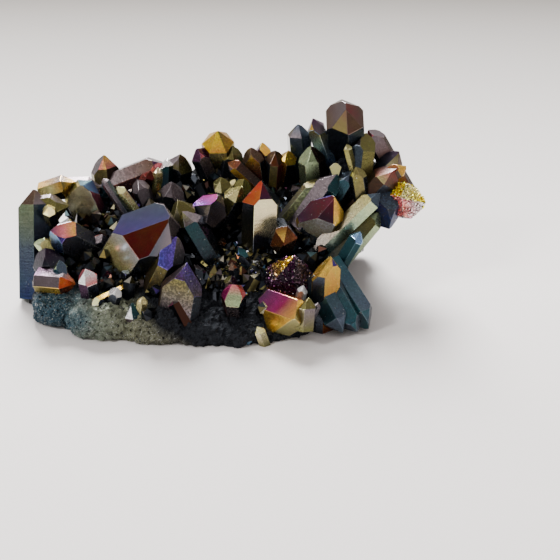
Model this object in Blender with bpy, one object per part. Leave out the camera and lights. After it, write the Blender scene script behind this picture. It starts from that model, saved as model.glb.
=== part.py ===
"""Aura quartz cluster: metal-coated quartz crystals grown together on a piece of their matrix rock, as one solid.

The cluster rests on a flat cut underneath. Lengths in the tables are millimetres. Crystals are placed in a
leaning frame whose axes are across (left to right), up (away from the floor, leaning back) and out (forward and up).
Each crystal is a block cut down to flat faces, and is joined to the rock by a Boolean of its own.
"""
import math
import random
from collections import namedtuple

import bmesh
import bpy
from mathutils import Vector, noise

MM = 0.001                        # metres in a millimetre
LEAN_BACK = math.radians(28)      # how far the frame of the table leans back from upright
FRAME_HEIGHT = 6.8                # height of the frame's origin above the flat cut, mm
TIP_SLOPE = math.radians(51.79)   # quartz: angle between a tip face's normal and the crystal's axis
WELD = 0.004                      # corners closer than this are one corner, mm
BLOCK_SIZE = 120.0                # block that a crystal is cut from, mm
CUT_BLOCK_SIZE = 200.0            # block whose underside makes the flat cut, mm

# name, tip point (across, up, out), axis (clock, lean, spin) in degrees, distance from axis to side faces,
# length, then for some crystals how far each of the six tip faces lies past the tip point, and each side's distance.
# Clock is the axis's direction seen from the front, lean its angle toward the front, spin the turn about the axis.
Crystal = namedtuple("Crystal", "name tip axis width length tips sides", defaults=(None, None))

CRYSTALS = [
    # LEFT
    Crystal("left_wall", (-49.6, 18.2, -4), (90, 5, 0), 3.2, 22, (0.4, 0.5, 0.6, 0.4, -0.3, 0.4), (3.3, 2.8, 2.9, 3.2, 3.2, 3.2)),
    Crystal("straw_back", (-37.2, 19.1, -9), (2, 0, 30), 2, 9.5, (0.3, 0.3, 0.3, 0.3, 0.3, 0.3), (2, 2, 2, 2, 2, 2)),
    Crystal("straw_shoulder", (-42.1, 19.9, -6.5), (18, 8, 30), 2.2, 7.2, (0.2, 0.5, 0.2, 0.5, 0.2, 0.5), (1.9, 2.2, 2.2, 2.2, 2.2, 2.2)),
    Crystal("olive_shelf", (-42.9, 15, -3.5), (8, 10, 30), 2.2, 8, (0.3, 0.3, 0.3, 0.3, 0.3, 0.3), (2.8, 1.9, 2.6, 2.2, 2.2, 2.2)),
    Crystal("glint_left", (-46.2, 14.5, 1.2), (92, 62, 0), 1.2, 8),
    Crystal("olive_block", (-39.8, 17.6, -4), (100, 74, 16), 4.4, 18, (1.3, -0.7, 0.3, 0.8, 1.5, 1.5), (4.2, 4.9, 4, 2.8, 3.5, 3.5)),
    Crystal("slim_bar", (-35.9, 20.5, -4), (123, 15, 30), 0.9, 15),
    Crystal("plum_left", (-45, 9.9, 3), (150, 40, 20), 2.9, 13),
    Crystal("pale_stub", (-49, 7.2, 1), (172, 25, 30), 1.2, 12),
    Crystal("low_bar", (-40.5, -0.6, 5), (355, 8, 30), 2, 7.6),
    Crystal("teal_stub", (-43.5, 3.7, 5), (95, 25, 0), 1.6, 9),
    Crystal("white_spark", (-37.8, 2.1, 8), (95, 35, 0), 1.8, 10),
    Crystal("dark_left", (-46.7, 5.9, 3), (100, 35, 20), 2.9, 8),
    # MIDDLE LEFT
    Crystal("front_point", (-22.8, 12.4, 10), (50, 54, 13), 4.5, 20, (-0.9, -0.4, 0.9, 1.2, 1.2, 1.6), (6.6, 5.4, 5.8, 4.4, 4.4, 5.4)),
    Crystal("violet_point", (-20.1, 8, 8), (61, 35, 31), 3, 14, (0.1, -0.3, -0.2, 0.5, 0.5, 0.5), (2.5, 3.6, 3, 2.6, 2.4, 2.4)),
    Crystal("pitted_point", (-18.2, 2.7, 9), (80, 17, 14), 3.4, 16, (0.4, 0.6, 0.3, 0.5, 0.8, 0.6), (4.1, 2.5, 4.2, 3.4, 3.4, 3.4)),
    Crystal("yellow_stub", (-26.5, -3.3, 10), (80, 30, 0), 0.9, 8),
    Crystal("steel_stub", (-28.9, -4.9, 9), (100, 30, 0), 2.3, 5),
    Crystal("straw_splinter", (-36.3, -5, 9.5), (208, 45, 0), 1.1, 9),
    Crystal("white_splinter", (-31.7, -1.6, 9), (70, 30, 20), 1.2, 9),
    # TOP EDGE
    Crystal("rose_tip", (-36.8, 25.5, -12), (95, 20, 20), 2.5, 17),
    Crystal("grey_lying", (-24, 24.2, -13), (21, 5, 10), 2.3, 15),
    Crystal("rust_tip", (-26.8, 22.5, -10), (60, 30, 0), 1.3, 12),
    Crystal("cream_tip", (-25.2, 23.1, -10), (85, 30, 0), 1, 12),
    Crystal("bottle_tip", (-23.5, 25.1, -12), (88, 10, 30), 1.3, 13),
    Crystal("mauve_cap", (-20.8, 25.8, -13), (75, 35, 20), 2.4, 11),
    Crystal("straw_bar", (-33.1, 18.9, -5), (125, 30, 0), 1.1, 10),
    Crystal("grey_streak", (-29.3, 20.5, -8), (110, 25, 40), 1.6, 10),
    Crystal("grey_dome", (-22.1, 19.6, -7), (85, 40, 20), 2.2, 12),
    Crystal("gold_knob", (-13, 30.9, -9), (92, 52, 30), 3, 13, (0, 0, 0, 0, -0.2, -0.2)),
    Crystal("magenta_tip", (-17, 27.1, -11), (115, 35, 40), 1.9, 14),
    Crystal("olive_tip", (-9.6, 27.8, -12), (80, 30, 30), 2.3, 13),
    Crystal("mauve_spire", (-3.8, 28.3, -13), (95, 20, 0), 1.7, 16),
    Crystal("gold_tip", (-6, 27.1, -11), (100, 30, 20), 2, 11),
    Crystal("brown_splinter", (-10.5, 24.3, -9), (138, 15, 0), 1.4, 13),
    Crystal("brown_tip", (-1, 26.5, -11), (85, 35, 30), 1.8, 10),
    Crystal("tan_tip", (1.9, 26.6, -12), (80, 35, 0), 1.7, 10),
    Crystal("slate_spire", (3.7, 32.8, -12), (95, 30, 10), 2.3, 16, (0.2, 0.2, 0.2, 0.1, -0.5, -0.4)),
    Crystal("ice_prism", (6.8, 32.8, -8), (112, 24, 50), 1.9, 16, (0.6, 0.2, 0.3, 0.4, 0.4, 0.2), (1.9, 2.3, 1.7, 1.9, 1.9, 1.8)),
    Crystal("sage_tip", (6.5, 27.1, -6), (95, 25, 30), 2.5, 11),
    Crystal("tower", (12.8, 35.1, 1), (97, 60, -5), 3.9, 18, (-0.5, 0.3, 0.6, 0, 0.2, 0.5), (3.8, 3.7, 4.2, 3.8, 3.4, 4.2)),
    Crystal("straw_needle", (13.5, 27.3, -3), (105, 15, 0), 0.8, 16),
    Crystal("olive_needle", (15.4, 22.5, -1), (100, 20, 20), 1.3, 13),
    Crystal("slate_prism", (17.3, 29.7, -5), (84, 10, 0), 2.6, 14),
    Crystal("pink_tip", (18.4, 30.7, -7), (122, 20, 30), 1.8, 16),
    Crystal("dusk_blade", (23.9, 26, -6), (58, 30, 40), 2.2, 14, (-0.2, 0, 0.3, 0.5, 0.5, 0.5), (2.7, 2.2, 2.2, 2, 2, 2)),
    Crystal("lemon_facet", (11.2, 23.5, -2), (90, 40, 30), 1.1, 12, (0.3, -0.5, 0.3, 0.2, 0.2, 0.2)),
    Crystal("rust_beam", (23.2, 22.4, -3), (45, 20, 20), 2.8, 20),
    Crystal("tan_stub", (25.5, 23.1, -4), (30, 10, 0), 1.4, 11),
    Crystal("sugar_point", (29.2, 15.4, -4), (350, 25, 0), 3.2, 11),
    Crystal("navy_lump", (22, 10.9, -3), (280, 22, 10), 3.2, 9),
    Crystal("long_beam", (19.7, 17.3, -1), (44, 10, 0), 1.9, 21),
    Crystal("grey_beam", (19.8, 13.9, -3), (50, 5, 20), 2.1, 18),
    Crystal("teal_tip", (15.9, 9.4, 1), (60, 20, 0), 1.4, 13),
    Crystal("lobe_right", (17.1, -9.1, 5), (302, 18, 0), 2.6, 15),
    Crystal("lobe_middle", (14.9, -9.8, 6.5), (300, 12, 30), 2, 13),
    Crystal("lobe_left", (12.3, -10, 7), (298, 12, 0), 2.3, 12),
    # CENTRE
    Crystal("ember", (-3.8, 19.4, 0), (88, 19, 50), 3, 17, (0, 0.2, 0.3, 0.5, 0.5, 0.4), (3, 2.4, 3.6, 3, 3, 3.4)),
    Crystal("lilac_point", (-13.5, 15, 1), (81, 72, 22), 2.6, 14, (0.3, 1.5, -0.1, 0.8, 1.5, 0.3), (4.4, 3.4, 2.8, 2.6, 3, 4)),
    Crystal("olive_centre", (-8.1, 18.6, -4), (60, 30, 20), 2.1, 10),
    Crystal("cap_a", (-12, 20.6, -6), (90, 40, 10), 1.7, 12),
    Crystal("cap_b", (-7.5, 20.4, -6), (80, 40, 30), 1.8, 12),
    Crystal("teal_centre", (-19.1, 13.4, 1), (120, 20, 30), 2.4, 12),
    Crystal("olive_cap", (-20.4, 15.6, 0), (110, 35, 0), 2.4, 11),
    Crystal("toffee", (0.8, 7.1, 4), (290, 74, 20), 2.4, 12),
    Crystal("rosy_point", (-8.9, -1.4, 11), (92, 52, 22), 2.3, 12, (0.2, -0.4, 0.3, 0.5, 0.5, 0.5), (2.3, 2.2, 2, 2, 2, 2.2)),
    Crystal("gilt_point", (2, -7.1, 14), (309, 80, 38), 4.2, 18, (1.5, -0.3, 0, 0.4, 1.5, 0.9), (3.4, 5.6, 4.6, 4.3, 3.4, 3.4)),
    Crystal("sugared_point", (2.9, 3.9, 7), (75, 35, 20), 3.6, 14),
    Crystal("amber_point", (9.4, 4.4, 8), (88, 20, 68), 2.4, 15, (0.2, 0.7, 0.5, 0.5, 0.3, -0.3), (2.8, 1.9, 2.4, 2.4, 2.4, 3.1)),
    Crystal("cream_point", (5.4, -3.8, 12), (85, 15, 0), 1.8, 6),
    Crystal("white_slab", (7.4, -4.5, 10), (65, 10, 20), 0.7, 4.5),
    Crystal("white_chip", (4.5, -1.2, 9), (75, 30, 30), 0.9, 8),
    Crystal("ice_chip", (-6, -10.3, 9), (80, 25, 10), 1.2, 5),
    Crystal("pale_chip", (-4.3, -9.1, 9.5), (110, 10, 0), 1, 6),
    # RIGHT CENTRE
    Crystal("maroon_point", (10.2, 16, 2), (66, 51, 35), 3, 18, (-0.3, -0.1, 0.3, 0.8, 0.8, 0.5), (5, 2.7, 3.6, 3.2, 3.2, 3.6)),
    Crystal("pitted_bar", (8.5, 20.1, -4), (50, 15, 30), 2.2, 13),
    Crystal("lilac_bar", (11.3, 20.9, -2), (55, 15, 0), 2.5, 13),
    Crystal("grey_bar", (14.3, 21.6, -3), (60, 20, 30), 2.1, 12),
]

# Matrix rock: its outline going round from the left end, with the height of its top edge, mm.
ROCK_EDGE = [
    (-50, 3, 6), (-46, -5, 7), (-38, -10, 7), (-28, -12, 6), (-18, -12.5, 4), (-8, -13, 3), (1, -12, 3),
    (7, -8, 4), (10, -3, 6), (12, 4, 10), (13, 12, 15), (13, 20, 18), (5, 24, 19), (-8, 25, 19), (-20, 25, 19),
    (-32, 23, 18), (-42, 18, 14), (-49, 11, 10),
]
ROCK_CENTRE = (-16, 5, 11)
ROCK_WALL = ((0.97, -0.35), (1.03, 0.1), (1.02, 0.55), (0.95, 0.9))   # rings of the wall: spread, part of the height
ROCK_TOP = (0.72, 0.4)            # spread of the rings of the upper surface
ROCK_SLOPE = (4.0, 15.0 / 37.0)   # upper surface: height at the front, mm, and rise toward the back
ROCK_FRONT = -12.0                # where that slope starts, mm
ROCK_GRAIN = 1.1                  # how far the broken rock's bumps stand out, mm
ROCK_SEED = 4
NOISE_SEED = 1
NOISE_SCALE = 0.35               # bumps of the rock's noise per mm
NOISE_STEP = (7.3, 3.1, 5.7)      # how far each seed moves that noise, mm

# Rounded lumps of the rock's rim and underside: centre and half sizes, mm.
ROCK_LUMPS = [
    ((-44, -4, 3), (5.5, 4.5, 4)), ((-35, -9, 3), (7, 4.5, 4)), ((-24, -11, 2), (6, 3.5, 4)),
    ((-15, -12, 1), (5, 3, 3)), ((-8, -12.5, 1), (5, 2.5, 2.5)), ((8, -5, 2), (5, 4, 3)),
]

# Broken lumps of the rock's back, which carry the tall crystals: centre and half sizes, mm.
BACK_LUMPS = [
    ((14, 21, 17), (6.5, 5.5, 7.5)), ((8, 23.5, 12), (6, 5, 7)), ((12, 15, 11), (4, 6, 6)),
    ((-2, 25, 10), (6, 4.5, 6)), ((-13, 25, 13), (6.5, 4.5, 6)), ((-25, 24.5, 11), (6, 4, 6)),
    ((-38, 18, 8), (7, 5, 5.5)), ((14, 24, 6), (5.5, 4, 5)),
]
BACK_GRAIN = 2.6                  # how far the bumps of the back lumps stand out, mm

SMALL_CRYSTALS = 30               # short crystals grown over the rock between the large ones
SMALL_FIELD = ((-46, 12), (-8, 22))   # where they stand: left to right and front to back, mm
SMALL_LENGTH = (3.0, 5.5)
SMALL_WIDTH = (0.8, 1.5)
SMALL_BURIED = 1.5                # how much of each is in the rock, mm
SMALL_CLOCK, SMALL_LEAN = (40, 140), (10, 70)   # which ways they point, degrees
SMALL_SEED = 12

BACK_CRYSTALS = 28                # crystals leaning out along the back edge and the two ends
BACK_FROM = 11                    # first corner of ROCK_EDGE behind the right end
BACK_LENGTH = (5.5, 9.0)
BACK_WIDTH = (1.3, 2.8)
BACK_BURIED = 4.0
BACK_RISE = (0.25, 0.95)          # how high on the wall they stand, and how far they point up
BACK_TURNED = 1.8                 # how much more they point back than sideways
BACK_SCATTER = (-0.3, 0.3)        # how far each departs from that
BACK_SEED = 24

TIP_UNEVEN = (0.0, 0.22)          # how far the tip faces lie past the tip point, as parts of the crystal's width
TIP_SECOND = 0.16                 # and how much farther every second one does
SIDE_UNEVEN = (0.85, 1.2)         # how far out each side lies, likewise


def axis_frame(clock, lean):
    """The crystal's axis and two directions square to it, in the leaning frame."""
    c, l = math.radians(clock), math.radians(lean)
    axis = (math.cos(l) * math.cos(c), math.cos(l) * math.sin(c), math.sin(l))
    side = (-math.sin(c), math.cos(c), 0.0)
    front = (-math.sin(l) * math.cos(c), -math.sin(l) * math.sin(c), math.cos(l))
    return axis, side, front


def dot(a, b):
    return sum(p * q for p, q in zip(a, b))


def uneven(crystal):
    """How far past the tip point each tip face lies, and how far out each side: no two faces grow alike."""
    draw = random.Random(f"{crystal.name} {crystal.width}")
    tips = [crystal.width * (draw.uniform(*TIP_UNEVEN) + (i % 2) * TIP_SECOND) for i in range(6)]
    sides = [crystal.width * draw.uniform(*SIDE_UNEVEN) for _ in range(6)]
    return crystal.tips or tips, crystal.sides or (sides if crystal.tips is None else (crystal.width,) * 6)


def crystal_planes(crystal):
    """Planes (normal, distance) that bound one crystal: six tip faces, six side faces and the root."""
    clock, lean, spin = crystal.axis
    axis, side, front = axis_frame(clock, lean)
    past, sides = uneven(crystal)
    tips, prism = [], []
    for i in range(6):
        turn = math.radians(spin + 60 * i)
        radial = [math.cos(turn) * s + math.sin(turn) * f for s, f in zip(side, front)]
        slope = [math.sin(TIP_SLOPE) * r + math.cos(TIP_SLOPE) * a for r, a in zip(radial, axis)]
        tips.append((slope, dot(slope, crystal.tip) + past[i]))
        prism.append((radial, dot(radial, crystal.tip) + sides[i]))
    root = [-a for a in axis]
    return tips + prism + [(root, crystal.length + dot(root, crystal.tip))]


def standing(point):
    """A point of the leaning frame, in upright axes above the flat cut, mm."""
    across, up, out = point
    return Vector((across, up * math.sin(LEAN_BACK) - out * math.cos(LEAN_BACK),
                   FRAME_HEIGHT + up * math.cos(LEAN_BACK) + out * math.sin(LEAN_BACK)))


def leaning(point):
    """The reverse of standing."""
    height = point[2] - FRAME_HEIGHT
    return Vector((point[0], point[1] * math.sin(LEAN_BACK) + height * math.cos(LEAN_BACK),
                   height * math.sin(LEAN_BACK) - point[1] * math.cos(LEAN_BACK)))


def object_from(bm, name):
    """A new object with the mesh of bm."""
    mesh = bpy.data.meshes.new(name)
    bm.to_mesh(mesh)
    bm.free()
    obj = bpy.data.objects.new(name, mesh)
    bpy.context.collection.objects.link(obj)
    return obj


def crystal_object(crystal):
    """Cuts a block down to the crystal's faces, and stands it upright."""
    bm = bmesh.new()
    bmesh.ops.create_cube(bm, size=BLOCK_SIZE)
    bmesh.ops.translate(bm, verts=bm.verts, vec=crystal.tip)
    for normal, distance in crystal_planes(crystal):
        normal = Vector(normal)
        bmesh.ops.bisect_plane(bm, geom=bm.verts[:] + bm.edges[:] + bm.faces[:],
                               plane_co=normal * distance, plane_no=normal, clear_outer=True)
        rim = [edge for edge in bm.edges if edge.is_boundary]
        if rim:
            bmesh.ops.contextual_create(bm, geom=rim)
    bmesh.ops.remove_doubles(bm, verts=bm.verts, dist=WELD)
    for v in bm.verts:
        v.co = standing(v.co)
    bmesh.ops.recalc_face_normals(bm, faces=bm.faces)
    return object_from(bm, crystal.name)


def rock_top(y):
    """Height of the rock's upper surface, which rises toward the back, mm."""
    low, rise = ROCK_SLOPE
    return low + rise * (y - ROCK_FRONT)


def small_crystals():
    """Short crystals grown over the rock, leaning every way about its surface."""
    draw = random.Random(SMALL_SEED)
    grown = []
    for _ in range(SMALL_CRYSTALS):
        x, y = (draw.uniform(*span) for span in SMALL_FIELD)
        length, width = draw.uniform(*SMALL_LENGTH), draw.uniform(*SMALL_WIDTH)
        clock, lean, spin = draw.uniform(*SMALL_CLOCK), draw.uniform(*SMALL_LEAN), draw.uniform(0, 60)
        reach = length - SMALL_BURIED
        tip_at = leaning((x, y, rock_top(y))) + Vector(axis_frame(clock, lean)[0]) * reach
        grown.append(Crystal("small", tip_at, (clock, lean, spin), width, length))
    return grown


def back_crystals():
    """Crystals that lean out of the rock along its back edge and its two ends."""
    draw = random.Random(BACK_SEED)
    edge = ROCK_EDGE[BACK_FROM:]
    grown = []
    for i in range(BACK_CRYSTALS):
        along = (i + draw.uniform(0.1, 0.9)) / BACK_CRYSTALS * (len(edge) - 1)
        start = int(along)
        x, y, top = (a + (b - a) * (along - start) for a, b in zip(edge[start], edge[start + 1]))
        rise = draw.uniform(*BACK_RISE)
        outward = Vector((x - ROCK_CENTRE[0], (y - ROCK_CENTRE[1]) * BACK_TURNED, 0)).normalized()
        outward = (outward + Vector((draw.uniform(*BACK_SCATTER), draw.uniform(*BACK_SCATTER), rise))).normalized()
        length, width = draw.uniform(*BACK_LENGTH), draw.uniform(*BACK_WIDTH)
        tip_at = leaning(Vector((x, y, top * rise)) + outward * (length - BACK_BURIED))
        axis = leaning(outward) - leaning((0, 0, 0))
        clock, lean = math.degrees(math.atan2(axis.y, axis.x)), math.degrees(math.asin(axis.z))
        grown.append(Crystal("back", tip_at, (clock, lean, draw.uniform(0, 60)), width, length))
    return grown


def rock_ring(bm, spread, height_at):
    """A ring of corners: the rock's outline spread about its centre."""
    cx, cy = ROCK_CENTRE[:2]
    ring = []
    for x, y, top in ROCK_EDGE:
        ring.append(bm.verts.new((cx + (x - cx) * spread, cy + (y - cy) * spread, height_at(y * spread, top))))
    return ring


def roughened(bm, seed, grain):
    """Moves each corner a little along a fixed noise, so that the rock looks broken."""
    noise.seed_set(NOISE_SEED)
    shift = Vector(NOISE_STEP) * seed
    for v in bm.verts:
        v.co += noise.noise_vector(v.co * NOISE_SCALE + shift) * grain


def rock_object():
    """The matrix: rings from below the cut, up the wall and over the top, with a broken surface."""
    bm = bmesh.new()
    rings = [rock_ring(bm, spread, lambda y, top, part=part: top * part) for spread, part in ROCK_WALL]
    rings += [rock_ring(bm, spread, lambda y, top: rock_top(y)) for spread in ROCK_TOP]
    count = len(ROCK_EDGE)
    for low, high in zip(rings, rings[1:]):
        for i in range(count):
            j = (i + 1) % count
            bm.faces.new((low[i], low[j], high[j], high[i]))
    bm.faces.new(rings[0])
    bm.faces.new(rings[-1])
    bmesh.ops.triangulate(bm, faces=bm.faces)
    bmesh.ops.subdivide_edges(bm, edges=bm.edges, cuts=1, use_grid_fill=True)
    bmesh.ops.triangulate(bm, faces=bm.faces)
    bmesh.ops.recalc_face_normals(bm, faces=bm.faces)
    roughened(bm, ROCK_SEED, ROCK_GRAIN)
    return object_from(bm, "rock")


def lump_object(lump, seed, grain):
    """One lump of the rock, with a broken surface."""
    centre, half = lump
    bm = bmesh.new()
    bmesh.ops.create_icosphere(bm, subdivisions=2, radius=1.0)
    for v in bm.verts:
        v.co = Vector([c + h * p for c, h, p in zip(centre, half, v.co)])
    roughened(bm, seed, grain)
    return object_from(bm, "lump")


def combine(obj, other, operation):
    """Applies a Boolean of obj with other, and removes other."""
    step = obj.modifiers.new(operation.lower(), "BOOLEAN")
    step.operation = operation
    step.solver = "MANIFOLD"
    step.object = other
    mesh = bpy.data.meshes.new_from_object(obj.evaluated_get(bpy.context.evaluated_depsgraph_get()))
    obj.modifiers.remove(step)
    obj.data = mesh
    bpy.data.objects.remove(other)


def cut_block():
    """A block whose underside is the flat cut."""
    bm = bmesh.new()
    bmesh.ops.create_cube(bm, size=CUT_BLOCK_SIZE)
    bmesh.ops.translate(bm, verts=bm.verts, vec=(0, 0, CUT_BLOCK_SIZE / 2))
    return object_from(bm, "block")


def bodies(bm):
    """The connected bodies of bm, as lists of faces."""
    left, found = set(bm.faces), []
    while left:
        stack = [left.pop()]
        body = [stack[0]]
        while stack:
            for edge in stack.pop().edges:
                reached = [face for face in edge.link_faces if face in left]
                left.difference_update(reached)
                stack += reached
                body += reached
        found.append(body)
    return found


def finish(obj):
    """Keeps the outer body, which fills sealed pockets, puts the origin under the middle and scales to metres."""
    bm = bmesh.new()
    bm.from_mesh(obj.data)
    for body in sorted(bodies(bm), key=len)[:-1]:
        bmesh.ops.delete(bm, geom=body, context="FACES")
    low = Vector([min(v.co[k] for v in bm.verts) for k in range(3)])
    high = Vector([max(v.co[k] for v in bm.verts) for k in range(3)])
    middle = (low + high) / 2
    bmesh.ops.translate(bm, verts=bm.verts, vec=(-middle.x, -middle.y, -low.z))
    bmesh.ops.scale(bm, verts=bm.verts, vec=(MM, MM, MM))
    bmesh.ops.triangulate(bm, faces=bm.faces)
    bm.to_mesh(obj.data)
    bm.free()


def coated_quartz():
    """The metal film's overall colour."""
    material = bpy.data.materials.new("coated_quartz")
    material.use_nodes = True
    shader = material.node_tree.nodes["Principled BSDF"]
    shader.inputs["Base Color"].default_value = (0.16, 0.17, 0.19, 1)
    shader.inputs["Metallic"].default_value = 0.9
    shader.inputs["Roughness"].default_value = 0.3
    return material


def build():
    for obj in list(bpy.data.objects):
        bpy.data.objects.remove(obj)
    cluster = rock_object()
    cluster.name = "quartz_cluster"
    for number, lump in enumerate(ROCK_LUMPS):
        combine(cluster, lump_object(lump, number, ROCK_GRAIN), "UNION")
    for number, lump in enumerate(BACK_LUMPS, len(ROCK_LUMPS)):
        combine(cluster, lump_object(lump, number, BACK_GRAIN), "UNION")
    for crystal in CRYSTALS + small_crystals() + back_crystals():
        combine(cluster, crystal_object(crystal), "UNION")
    combine(cluster, cut_block(), "INTERSECT")
    finish(cluster)
    cluster.data.materials.clear()
    cluster.data.materials.append(coated_quartz())


if __name__ == "__main__":
    build()
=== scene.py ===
"""Looks of a metal-coated quartz cluster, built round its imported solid.

Shapes are worked out in millimetres in upright axes above the flat cut, and made metres as they are placed.
"""
import math
import random
from collections import namedtuple

import bmesh
import bpy
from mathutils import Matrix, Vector, noise


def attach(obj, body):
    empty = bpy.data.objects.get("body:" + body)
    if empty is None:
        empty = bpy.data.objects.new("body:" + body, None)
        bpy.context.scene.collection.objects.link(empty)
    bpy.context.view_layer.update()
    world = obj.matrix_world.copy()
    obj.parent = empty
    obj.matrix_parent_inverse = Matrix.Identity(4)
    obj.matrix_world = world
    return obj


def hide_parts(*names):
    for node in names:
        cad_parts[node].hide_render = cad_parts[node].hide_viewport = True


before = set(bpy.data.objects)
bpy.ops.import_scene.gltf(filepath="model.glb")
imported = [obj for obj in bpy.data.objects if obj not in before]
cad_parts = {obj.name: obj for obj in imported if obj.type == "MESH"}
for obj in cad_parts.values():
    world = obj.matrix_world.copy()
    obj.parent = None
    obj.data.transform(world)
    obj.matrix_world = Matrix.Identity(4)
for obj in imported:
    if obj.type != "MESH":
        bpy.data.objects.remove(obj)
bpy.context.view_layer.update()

# ---------------------------------------------------------------------------
# Matrix rock
# The piece of country rock that the quartz grew on, broken off its vein and
# sawn flat underneath. The same metal film covers it, dull on its rough skin,
# and away from the front rim it is painted near black as the shade between the crystals.
# ---------------------------------------------------------------------------
MM = 0.001
MIDDLE = Vector((-11.71, 7.15, 0))   # middle of the cluster in the axes of the tables, mm

ROCK_EDGE = [                        # outline going round from the left end, with the height of its top edge
    (-50, 3, 6), (-46, -5, 7), (-38, -10, 7), (-28, -12, 6), (-18, -12.5, 4), (-8, -13, 3), (1, -12, 3),
    (7, -8, 4), (10, -3, 6), (12, 4, 10), (13, 12, 15), (13, 20, 18), (5, 24, 19), (-8, 25, 19), (-20, 25, 19),
    (-32, 23, 18), (-42, 18, 14), (-49, 11, 10),
]
ROCK_CENTRE = (-16, 5)
ROCK_WALL = (                        # rings of the wall: spread, and part of the height
    (0.97, -0.35), (1.03, 0.1), (1.02, 0.55), (0.95, 0.9))
ROCK_TOP = (0.72, 0.4)               # spread of the rings of the upper surface
ROCK_SLOPE = (4.0, 15.0 / 37.0)      # upper surface: height at the front, and rise toward the back
ROCK_FRONT = -12.0                   # where that front is
ROCK_LUMPS = [                       # centre and half sizes
    ((-44, -4, 3), (5.5, 4.5, 4)), ((-35, -9, 3), (7, 4.5, 4)), ((-24, -11, 2), (6, 3.5, 4)),
    ((-15, -12, 1), (5, 3, 3)), ((-8, -12.5, 1), (5, 2.5, 2.5)), ((8, -5, 2), (5, 4, 3)),
]
BACK_LUMPS = [                       # likewise, round the right end, the back and the left end
    ((14, 21, 17), (6.5, 5.5, 7.5)), ((8, 23.5, 12), (6, 5, 7)), ((12, 15, 11), (4, 6, 6)),
    ((-2, 25, 10), (6, 4.5, 6)), ((-13, 25, 13), (6.5, 4.5, 6)), ((-25, 24.5, 11), (6, 4, 6)),
    ((-38, 18, 8), (7, 5, 5.5)), ((14, 24, 6), (5.5, 4, 5)),
]
ROCK_GRAIN, BACK_GRAIN = 1.1, 2.6    # how far the broken rock's large bumps stand out
ROCK_SEED, NOISE_SEED = 4, 1
NOISE_SCALE = 0.35                   # bumps of the rock's noise per mm
NOISE_STEP = (7.3, 3.1, 5.7)         # how far each seed moves that noise, in bumps
ROCK_VOXEL = 0.42                    # size of the fine skin's faces
CRUMB = ((1.1, 0.5), (2.6, 0.4))     # finer roughness: bumps per mm, and how far they stand out


def rock_top(y):
    """Height of the rock's upper surface, which rises toward the back."""
    low, rise = ROCK_SLOPE
    return low + rise * (y - ROCK_FRONT)


def roughened(verts, seed, grain):
    """Moves each corner a little along a fixed noise, so that the rock looks broken."""
    noise.seed_set(NOISE_SEED)
    shift = Vector(NOISE_STEP) * seed
    for v in verts:
        v.co += noise.noise_vector(v.co * NOISE_SCALE + shift) * grain


def add_rock(bm):
    """Rings of the outline, from below the cut, up the wall and over the top."""
    cx, cy = ROCK_CENTRE
    rings = []
    for spread, part in ROCK_WALL + tuple((spread, None) for spread in ROCK_TOP):
        ring = []
        for x, y, top in ROCK_EDGE:
            height = rock_top(y * spread) if part is None else top * part
            ring.append(bm.verts.new((cx + (x - cx) * spread, cy + (y - cy) * spread, height)))
        rings.append(ring)
    count = len(ROCK_EDGE)
    for low, high in zip(rings, rings[1:]):
        for i in range(count):
            j = (i + 1) % count
            bm.faces.new((low[i], low[j], high[j], high[i]))
    bm.faces.new(rings[0])
    bm.faces.new(rings[-1])
    bmesh.ops.triangulate(bm, faces=bm.faces)
    bmesh.ops.subdivide_edges(bm, edges=bm.edges, cuts=1, use_grid_fill=True)
    bmesh.ops.triangulate(bm, faces=bm.faces)
    roughened(bm.verts, ROCK_SEED, ROCK_GRAIN)


def add_lump(bm, lump, seed, grain):
    """One rounded lump of the rock."""
    centre, half = lump
    made = bmesh.ops.create_icosphere(bm, subdivisions=3, radius=1.0)["verts"]
    for v in made:
        v.co = Vector([c + h * p for c, h, p in zip(centre, half, v.co)])
    roughened(made, seed, grain)


def placed(bm, name):
    """A new object with the mesh of bm, moved to the middle and made metres."""
    bmesh.ops.translate(bm, verts=bm.verts, vec=-MIDDLE)
    bmesh.ops.scale(bm, verts=bm.verts, vec=(MM, MM, MM))
    mesh = bpy.data.meshes.new(name)
    bm.to_mesh(mesh)
    bm.free()
    obj = bpy.data.objects.new(name, mesh)
    bpy.context.collection.objects.link(obj)
    return obj


def applied(obj):
    """Makes the result of obj's modifiers its plain mesh."""
    mesh = bpy.data.meshes.new_from_object(obj.evaluated_get(bpy.context.evaluated_depsgraph_get()))
    obj.modifiers.clear()
    obj.data = mesh


bm = bmesh.new()
add_rock(bm)
for number, lump in enumerate(ROCK_LUMPS):
    add_lump(bm, lump, number, ROCK_GRAIN)
for number, lump in enumerate(BACK_LUMPS, len(ROCK_LUMPS)):
    add_lump(bm, lump, number, BACK_GRAIN)
bmesh.ops.recalc_face_normals(bm, faces=bm.faces)
matrix = placed(bm, "matrix")
skin = matrix.modifiers.new("skin", "REMESH")
skin.mode = "VOXEL"
skin.voxel_size = ROCK_VOXEL * MM
applied(matrix)
bm = bmesh.new()
bm.from_mesh(matrix.data)
for v in bm.verts:
    at = v.co / MM
    for fineness, height in CRUMB:
        v.co += v.normal * noise.noise(at * fineness) * height * MM
    v.co.z = max(v.co.z, 0.0)
bm.to_mesh(matrix.data)
bm.free()
matrix.data.shade_flat()

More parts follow.
